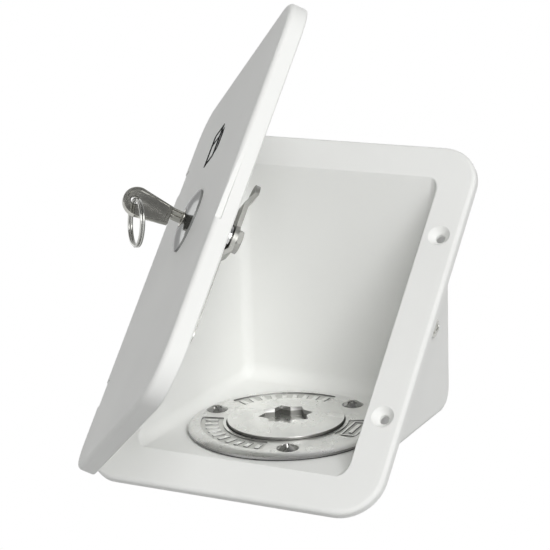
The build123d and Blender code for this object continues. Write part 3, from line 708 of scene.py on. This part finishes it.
def add_floor(collection):
    # Far below the hatch, which hangs on its wall
    bm = bmesh.new()
    bmesh.ops.create_grid(bm, x_segments=8, y_segments=8, size=FLOOR_HALF)
    mesh = bpy.data.meshes.new("floor")
    bm.to_mesh(mesh)
    bm.free()
    floor = bpy.data.objects.new("floor", mesh)
    floor.location = (0, 0, FLOOR_LEVEL)
    collection.objects.link(floor)
    mat, tree, shader, place = start_material("pale_floor")
    tint(tree, noise(tree, place, 3.0, 2.0), (0.86, 0.86, 0.86), (0.88, 0.88, 0.88), shader.inputs["Base Color"])
    shader.inputs["Roughness"].default_value = 0.8
    # Paler as the camera and polished metal see it, and it throws no more light on the hatch
    path = tree.nodes.new("ShaderNodeLightPath").outputs
    direct = calc(tree, "MAXIMUM", path["Is Camera Ray"], path["Is Glossy Ray"])
    vary(tree, direct, 0.0, FLOOR_GLOW, shader.inputs["Emission Strength"], (0.0, 1.0))
    shader.inputs["Emission Color"].default_value = (1.0, 1.0, 1.0, 1)
    mesh.materials.append(mat)


def add_camera(scene, collection):
    camera = bpy.data.cameras.new("camera")
    camera.lens = CAMERA_LENS
    camera.sensor_width = CAMERA_SENSOR
    camera.clip_start = CAMERA_NEAR
    view = bpy.data.objects.new("camera", camera)
    view.matrix_world = basis(CAMERA_PLACE, CAMERA_RIGHT, CAMERA_UP, CAMERA_BACK)
    collection.objects.link(view)
    scene.camera = view


def add_lamps(collection, sizes):
    for name, power, size, toward in (
        ("main_light", sizes.key_light, 1.0, Vector((1.3, -1.0, -0.3))),
        ("fill_light", sizes.fill_light, 1.2, Vector((0.7, -1.0, 0.1))),
        ("side_light", sizes.side_light, 2.0, Vector((-1.0, -0.2, 0.15))),
    ):
        lamp = bpy.data.lights.new(name, "AREA")
        lamp.energy = power
        lamp.size = size
        holder = bpy.data.objects.new(name, lamp)
        holder.location = toward.normalized() * LAMP_DISTANCE
        holder.rotation_euler = toward.to_track_quat("Z", "Y").to_euler()
        collection.objects.link(holder)


class HATCH_OT_stage(bpy.types.Operator):
    """Pale floor, even light, lamps and the camera"""
    bl_idname = "hatch.stage"
    bl_label = "Stage"

    def execute(self, context):
        scene = context.scene
        scene.view_settings.view_transform = "Standard"
        add_world(scene, scene.hatch_sizes)
        add_floor(context.collection)
        add_camera(scene, context.collection)
        add_lamps(context.collection, scene.hatch_sizes)
        return {"FINISHED"}


# Pieces

class HATCH_OT_finishes(bpy.types.Operator):
    """Gives every solid of the hatch the finish of its material slot"""
    bl_idname = "hatch.finishes"
    bl_label = "Finishes"

    def execute(self, context):
        slots = {s["node"]: s["material_slot"] for s in frame["record"]["subparts"]}
        own = {"filler_body": "filler_casting", "filler_plug": "plug_casting", "lock_cam": "cam_steel"}
        for name, obj in frame["nodes"].items():
            finish = material_for(own.get(name, slots[name]))
            if not obj.material_slots:
                obj.data.materials.append(finish)
            for item in obj.material_slots:
                item.material = finish
        return {"FINISHED"}


class HATCH_OT_symbol(bpy.types.Operator):
    """Printed fuel pump symbol on the door"""
    bl_idname = "hatch.symbol"
    bl_label = "Pump symbol"

    def execute(self, context):
        s = context.scene.hatch_sizes
        # Drawn at half its width and then stretched, so that the upright lines come out twice as wide
        stretch = 2.0
        w, h, line = s.symbol_w / stretch, s.symbol_h, s.line_w
        low, high = 0.0, 0.08 * MM
        bm = bmesh.new()
        # Pump body with a window over a bar, and a hose that turns up to its nozzle
        left, right = -0.5 * w, 0.09 * w
        bottom, top = -0.5 * h, 0.5 * h
        stroke(bm, rounded_box(left, bottom, right, top, 0.04 * w), line, low, high, closed=True)
        stroke(bm, [(left, 0.16 * h), (right, 0.16 * h)], 0.8 * line, low, high)
        bend = 0.12 * w
        hose_x = right + 2 * bend
        hose = [(right, bottom + 0.34 * h), (right + 0.02 * w, bottom + 0.34 * h)]
        hose += arc(hose_x - bend, bottom + 0.16 * h, bend, 180, 360, 8)
        hose += [(hose_x, top - 0.5 * h), (hose_x - 0.04 * w, top - 0.22 * h)]
        stroke(bm, hose, 0.85 * line, low, high)
        door_face = 4.0 * MM
        place = DOOR_FRAME @ Matrix.Translation((s.symbol_x, s.symbol_z, door_face))
        place = place @ Matrix.Diagonal((stretch, 1, 1, 1))
        mesh_object("pump_symbol", bm, "symbol_ink", "door", smooth=False, place=place)
        return {"FINISHED"}


class HATCH_OT_ring(bpy.types.Operator):
    """Split ring: two turns of wire that cross over once"""
    bl_idname = "hatch.ring"
    bl_label = "Key ring"

    def execute(self, context):
        s = context.scene.hatch_sizes
        low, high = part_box("key_ring")
        centre = (Vector(low) + Vector(high)) / 2
        down = (centre - RING_PIVOT).normalized()
        across = DOOR_ALONG
        normal = across.cross(down).normalized()
        radius = (centre - RING_PIVOT).length
        # Two turns lie side by side. Angles are in radians, from the point that hangs lowest
        shift = 0.6 * MM
        turns, steps, sides, start, gap = 2.0, 200, 12, -0.35, 0.12
        cross_from, cross_over = tau - 1.1, 0.9
        path = []
        for i in range(steps + 1):
            a = start + (turns * tau - gap) * i / steps
            # The wire steps smoothly from one side to the other as it crosses over
            k = min(1.0, max(0.0, (a - cross_from) / cross_over))
            k = k * k * (3 - 2 * k)
            side = -shift + 2 * shift * k
            path.append(centre + (down * cos(a) + across * sin(a)) * radius + normal * side)
        bm = bmesh.new()
        tube(bm, path, s.ring_wire / 2, sides, normal)
        mesh_object("split_ring", bm, "key_steel", "ring", "key_ring", finish="ring_wire")
        return {"FINISHED"}


class HATCH_OT_filler_screws(bpy.types.Operator):
    """Cross-head screws, washers and nuts that clamp the filler"""
    bl_idname = "hatch.filler_screws"
    bl_label = "Filler screws"

    def execute(self, context):
        s = context.scene.hatch_sizes
        plate_top = 3.2 * MM
        bm = bmesh.new()
        cross_head(
            bm, head_r=4.45 * MM, rim_z=plate_top, top_z=plate_top + 1.8 * MM,
            recess_r=2.7 * MM, recess_w=1.25 * MM, depth=2.4 * MM,
            shank_r=2.45 * MM, under_z=plate_top - 0.15 * MM, shank_z=plate_top - 2.25 * MM)
        threaded_rod(
            bm, crest_r=2.48 * MM, root_r=2.0 * MM, pitch=s.screw_pitch,
            low=plate_top - 15.0 * MM, high=plate_top - 2.2 * MM)
        bm = ring_array(
            pattern_object(bm, "screw_pattern"), SCREW_COUNT, SCREW_CIRCLE, SCREW_START, SCREW_STEP, "stainless")
        mesh_object(
            "filler_screw_set", bm, "stainless", "housing", "filler_screws", place=FILLER_FRAME, finish="domed_heads")

        bm = bmesh.new()
        chamfered_hex(bm, flats=8.0 * MM, low=-8.0 * MM, high=-4.0 * MM, chamfer=0.6, bore_r=2.5 * MM)
        bm = ring_array(
            pattern_object(bm, "nut_pattern"), SCREW_COUNT, SCREW_CIRCLE, SCREW_START, SCREW_STEP, "stainless")
        mesh_object("filler_nut_set", bm, "stainless", "housing", "filler_nuts", place=FILLER_FRAME)
        return {"FINISHED"}


class HATCH_OT_filler_panels(bpy.types.Operator):
    """Raised bars that stand in the filler's sunk panels"""
    bl_idname = "hatch.filler_panels"
    bl_label = "Filler panels"

    def execute(self, context):
        low, high = 2.5 * MM, 3.15 * MM
        panel_r = 33.0 * MM
        # Two panels, from one angle to the other, hold bars about this many degrees apart
        bar_half, bar_w, bar_top, bar_gap = 3.0 * MM, 2.3 * MM, high - 0.15 * MM, 8.5
        bm_all = bmesh.new()
        for start, end in ((84.0, 152.0), (200.0, 276.0)):
            bm = bmesh.new()
            prism(bm, rounded_box(-bar_half, -bar_w / 2, bar_half, bar_w / 2, 0.5 * MM, 3), low, bar_top)
            rim = [e for e in bm.edges if all(abs(v.co.z - bar_top) < 1e-7 for v in e.verts)]
            bmesh.ops.bevel(bm, geom=rim, offset=0.2 * MM, segments=2, affect="EDGES", profile=0.5)
            count = round((end - start) / bar_gap) + 1
            step = (end - start) / (count - 1)
            join_in(bm_all, ring_array(
                pattern_object(bm, "bar_pattern"), count, panel_r, radians(start), radians(step), "chromed_filler"))
        # A plain frame with one bar in the third panel
        bm = bmesh.new()
        frame_w, frame_h = 3.2 * MM, 8.6 * MM
        stroke(bm, rounded_box(-frame_w, -frame_h, frame_w, frame_h, 0.8 * MM), 0.8 * MM, low, high, closed=True)
        stroke(bm, [(0, -5.5 * MM), (0, 5.5 * MM)], 1.6 * MM, low, high)
        bm.transform(Matrix.Rotation(radians(3.0), 4, "Z") @ Matrix.Translation((panel_r, 0, 0)))
        join_in(bm_all, bm)
        mesh_object("filler_bars", bm_all, "chromed_filler", "housing", place=FILLER_FRAME)
        return {"FINISHED"}


class HATCH_OT_lock(bpy.types.Operator):
    """Threaded lock barrel, its nut and the screw of the cam"""
    bl_idname = "hatch.lock"
    bl_label = "Lock"

    def execute(self, context):
        bm = bmesh.new()
        bore, face = 4.05 * MM, 4.0 * MM
        lathe(bm, [
            (bore, face + 1.2 * MM), (9.7 * MM, face + 1.2 * MM), (10.0 * MM, face + 0.9 * MM), (10.0 * MM, face),
            (7.9 * MM, face), (7.9 * MM, -3.6 * MM), (7.5 * MM, -3.6 * MM), (7.5 * MM, -11.6 * MM),
            (6.2 * MM, -11.6 * MM), (6.2 * MM, -14.3 * MM), (5.9 * MM, -14.6 * MM), (bore, -14.6 * MM),
        ], 64)
        threaded_rod(
            bm, crest_r=7.98 * MM, root_r=7.45 * MM, pitch=1.0 * MM,
            low=-11.6 * MM, high=-3.7 * MM, steps=64, capped=False)
        mesh_object("threaded_barrel", bm, "chromed", "door", "lock_barrel", place=LOCK_FRAME)

        bm = bmesh.new()
        chamfered_hex(bm, flats=22.0 * MM, low=-10.0 * MM, high=-5.0 * MM, chamfer=0.55, bore_r=8.05 * MM)
        mesh_object("barrel_nut", bm, "zinc", "door", "lock_nut", place=LOCK_FRAME)

        bm = bmesh.new()
        chamfered_hex(bm, flats=10.0 * MM, low=-19.6 * MM, high=-17.0 * MM, chamfer=0.6)
        threaded_rod(bm, crest_r=1.6 * MM, root_r=1.3 * MM, pitch=0.6 * MM, low=-17.1 * MM, high=-13.2 * MM)
        mesh_object("cam_bolt", bm, "stainless", "lock", "cam_screw", place=LOCK_FRAME, finish="cam_steel")
        return {"FINISHED"}


class HATCH_OT_keeper_screws(bpy.types.Operator):
    """Pan-head screws of the keeper"""
    bl_idname = "hatch.keeper_screws"
    bl_label = "Keeper screws"

    def execute(self, context):
        wall = 53.5 * MM
        ear = Vector((wall, 28.0 * MM, 16.0 * MM))
        foot = Vector((wall, 18.0 * MM, -11.5 * MM))
        gap = (foot - ear).length
        along = (foot - ear).normalized()
        out = Vector((1, 0, 0))
        plate_top = 1.5 * MM
        bm = bmesh.new()
        cross_head(
            bm, head_r=2.8 * MM, rim_z=2.3 * MM, top_z=3.1 * MM,
            recess_r=1.7 * MM, recess_w=0.8 * MM, depth=1.2 * MM,
            shank_r=1.4 * MM, under_z=plate_top, shank_z=plate_top)
        threaded_rod(bm, crest_r=1.42 * MM, root_r=1.1 * MM, pitch=0.9 * MM, low=-3.0 * MM, high=plate_top)
        bm = ring_array(pattern_object(bm, "pan_pattern"), 2, gap / 2, 0.0, pi, "stainless")
        place = basis((ear + foot) / 2, along, out.cross(along), out)
        mesh_object("keeper_screw_pair", bm, "stainless", "housing", "keeper_screws", place=place)
        return {"FINISHED"}


def reach(outline, start, a):
    # How far it is from the start to the nearest side of the outline, in the direction of the angle
    d = Vector((cos(a), sin(a)))
    hits = []
    for p, q in zip(outline, outline[1:] + outline[:1]):
        e = q - p
        det = d.x * -e.y + d.y * e.x
        if abs(det) < 1e-12:
            continue
        w = p - start
        k = (w.x * -e.y + w.y * e.x) / det
        u = (d.x * w.y - d.y * w.x) / det
        if k > 0 and -1e-6 <= u <= 1 + 1e-6:
            hits.append(k)
    return min(hits)


def key_bow(bm):
    # Flat bow with a raised rim round its edge and its hole. X is up, Y goes out of the door, Z lies across
    bow_start, bow_end, bow_w, neck_w, drop = 12.4 * MM, 33.8 * MM, 13.4 * MM, 8.4 * MM, 1.6 * MM
    hole = Vector((-drop, bow_end - 5.0 * MM))
    round_r = bow_w / 2
    outline = [Vector(point) for point in arc(-drop, bow_end - round_r, round_r, 0, 180, 24)]
    outline += [Vector((-neck_w / 2 - drop, bow_start)), Vector((neck_w / 2 - drop, bow_start))]
    corners = {round(atan2(v.y - hole.y, v.x - hole.x) % tau, 6) for v in outline}
    angles = sorted(corners | {tau * i / 60 for i in range(60)})
    far = [reach(outline, hole, a) for a in angles]
    half, sunk = 1.3 * MM, 0.35 * MM
    loops = [
        [(r - inset, z) for r in far]
        for inset, z in ((0.0, half - 0.3 * MM), (0.3 * MM, half), (1.5 * MM, half), (1.8 * MM, half - sunk))
    ]
    for point in ((2.1 * MM, half - sunk), (1.7 * MM, half - 0.7 * MM)):
        loops.append([point] * len(angles))
    loops += [[(r, -z) for r, z in loop] for loop in reversed(loops)]
    bridge(bm, [
        [bm.verts.new((hole.x + r * cos(a), hole.y + r * sin(a), z)) for a, (r, z) in zip(angles, loop)]
        for loop in loops
    ], closed=True)


def key_blade(bm):
    # One grooved section, cut away step by step along one edge
    top, side = 2.4 * MM, 1.0 * MM
    section = [
        (top, side), (1.6 * MM, side), (1.4 * MM, 0.4 * MM), (0.7 * MM, 0.4 * MM), (0.5 * MM, side),
        (-0.5 * MM, side), (-0.7 * MM, 0.45 * MM), (-1.4 * MM, 0.45 * MM), (-1.6 * MM, side), (-top, side),
        (-top, -side), (-1.2 * MM, -side), (-1.0 * MM, -0.4 * MM), (0.1 * MM, -0.4 * MM), (0.3 * MM, -side),
        (top, -side),
    ]
    tip, end, point, notch = -11.6 * MM, 14.0 * MM, 0.4 * MM, 1.1 * MM
    cuts = [(tip, -point), (tip + 2.0 * MM, -top)]
    for i in range(3):
        start = tip + (4.0 + 3.2 * i) * MM
        cuts += [(start, -top), (start + 1.2 * MM, -top + notch), (start + 2.0 * MM, -top + notch)]
        cuts += [(start + 3.2 * MM, -top)]
    cuts += [(end, -top)]
    stations = []
    for y, low in sorted(set(cuts)):
        upper = top if y > tip + 1.9 * MM else point
        stations.append([bm.verts.new((min(upper, max(low, x)), y, z)) for x, z in section])
    bridge(bm, stations)
    bm.faces.new(stations[0])
    bm.faces.new(stations[-1][::-1])


class HATCH_OT_key(bpy.types.Operator):
    """Key with a rimmed bow and a grooved, cut blade"""
    bl_idname = "hatch.key"
    bl_label = "Key"

    def execute(self, context):
        bm = bmesh.new()
        key_bow(bm)
        key_blade(bm)
        place = basis(LOCK, DOOR_UP, DOOR_OUT, DOOR_ALONG)
        mesh_object("cut_key", bm, "key_steel", "key", "key", place=place)
        return {"FINISHED"}


class HATCH_OT_plug_thread(bpy.types.Operator):
    """Thread on the stem of the filler plug"""
    bl_idname = "hatch.plug_thread"
    bl_label = "Plug thread"

    def execute(self, context):
        bm = bmesh.new()
        seat = 2.0 * MM
        for low, high in ((seat - 12.6 * MM, seat - 6.4 * MM), (seat - 3.7 * MM, seat - 0.4 * MM)):
            threaded_rod(bm, 21.9 * MM, 21.6 * MM, 2.0 * MM, low, high, steps=96, rows=8)
        mesh_object("plug_thread", bm, "chromed_filler", "plug", place=FILLER_FRAME)
        return {"FINISHED"}


class HATCH_PT_panel(bpy.types.Panel):
    """Lists the steps that dress the hatch"""
    bl_idname = "HATCH_PT_panel"
    bl_label = "Fuel filler hatch"
    bl_space_type = "VIEW_3D"
    bl_region_type = "UI"
    bl_category = "Hatch"

    def draw(self, context):
        for step in STEPS:
            self.layout.operator(step.bl_idname)


STEPS = (
    HATCH_OT_stage, HATCH_OT_finishes, HATCH_OT_symbol, HATCH_OT_ring, HATCH_OT_key, HATCH_OT_lock,
    HATCH_OT_filler_screws, HATCH_OT_filler_panels, HATCH_OT_keeper_screws, HATCH_OT_plug_thread,
)
CLASSES = (HatchFinish, HatchSizes, *STEPS, HATCH_PT_panel)


def register():
    for cls in CLASSES:
        bpy.utils.register_class(cls)
    bpy.types.Scene.hatch_finish = bpy.props.PointerProperty(type=HatchFinish)
    bpy.types.Scene.hatch_sizes = bpy.props.PointerProperty(type=HatchSizes)


def unregister():
    del bpy.types.Scene.hatch_finish
    del bpy.types.Scene.hatch_sizes
    for cls in reversed(CLASSES):
        bpy.utils.unregister_class(cls)


def main():
    register()
    bpy.ops.hatch.stage()
    bpy.ops.hatch.finishes()
    bpy.ops.hatch.symbol()
    bpy.ops.hatch.ring()
    bpy.ops.hatch.key()
    bpy.ops.hatch.lock()
    bpy.ops.hatch.filler_screws()
    bpy.ops.hatch.filler_panels()
    bpy.ops.hatch.keeper_screws()
    bpy.ops.hatch.plug_thread()


if __name__ == "__main__":
    main()
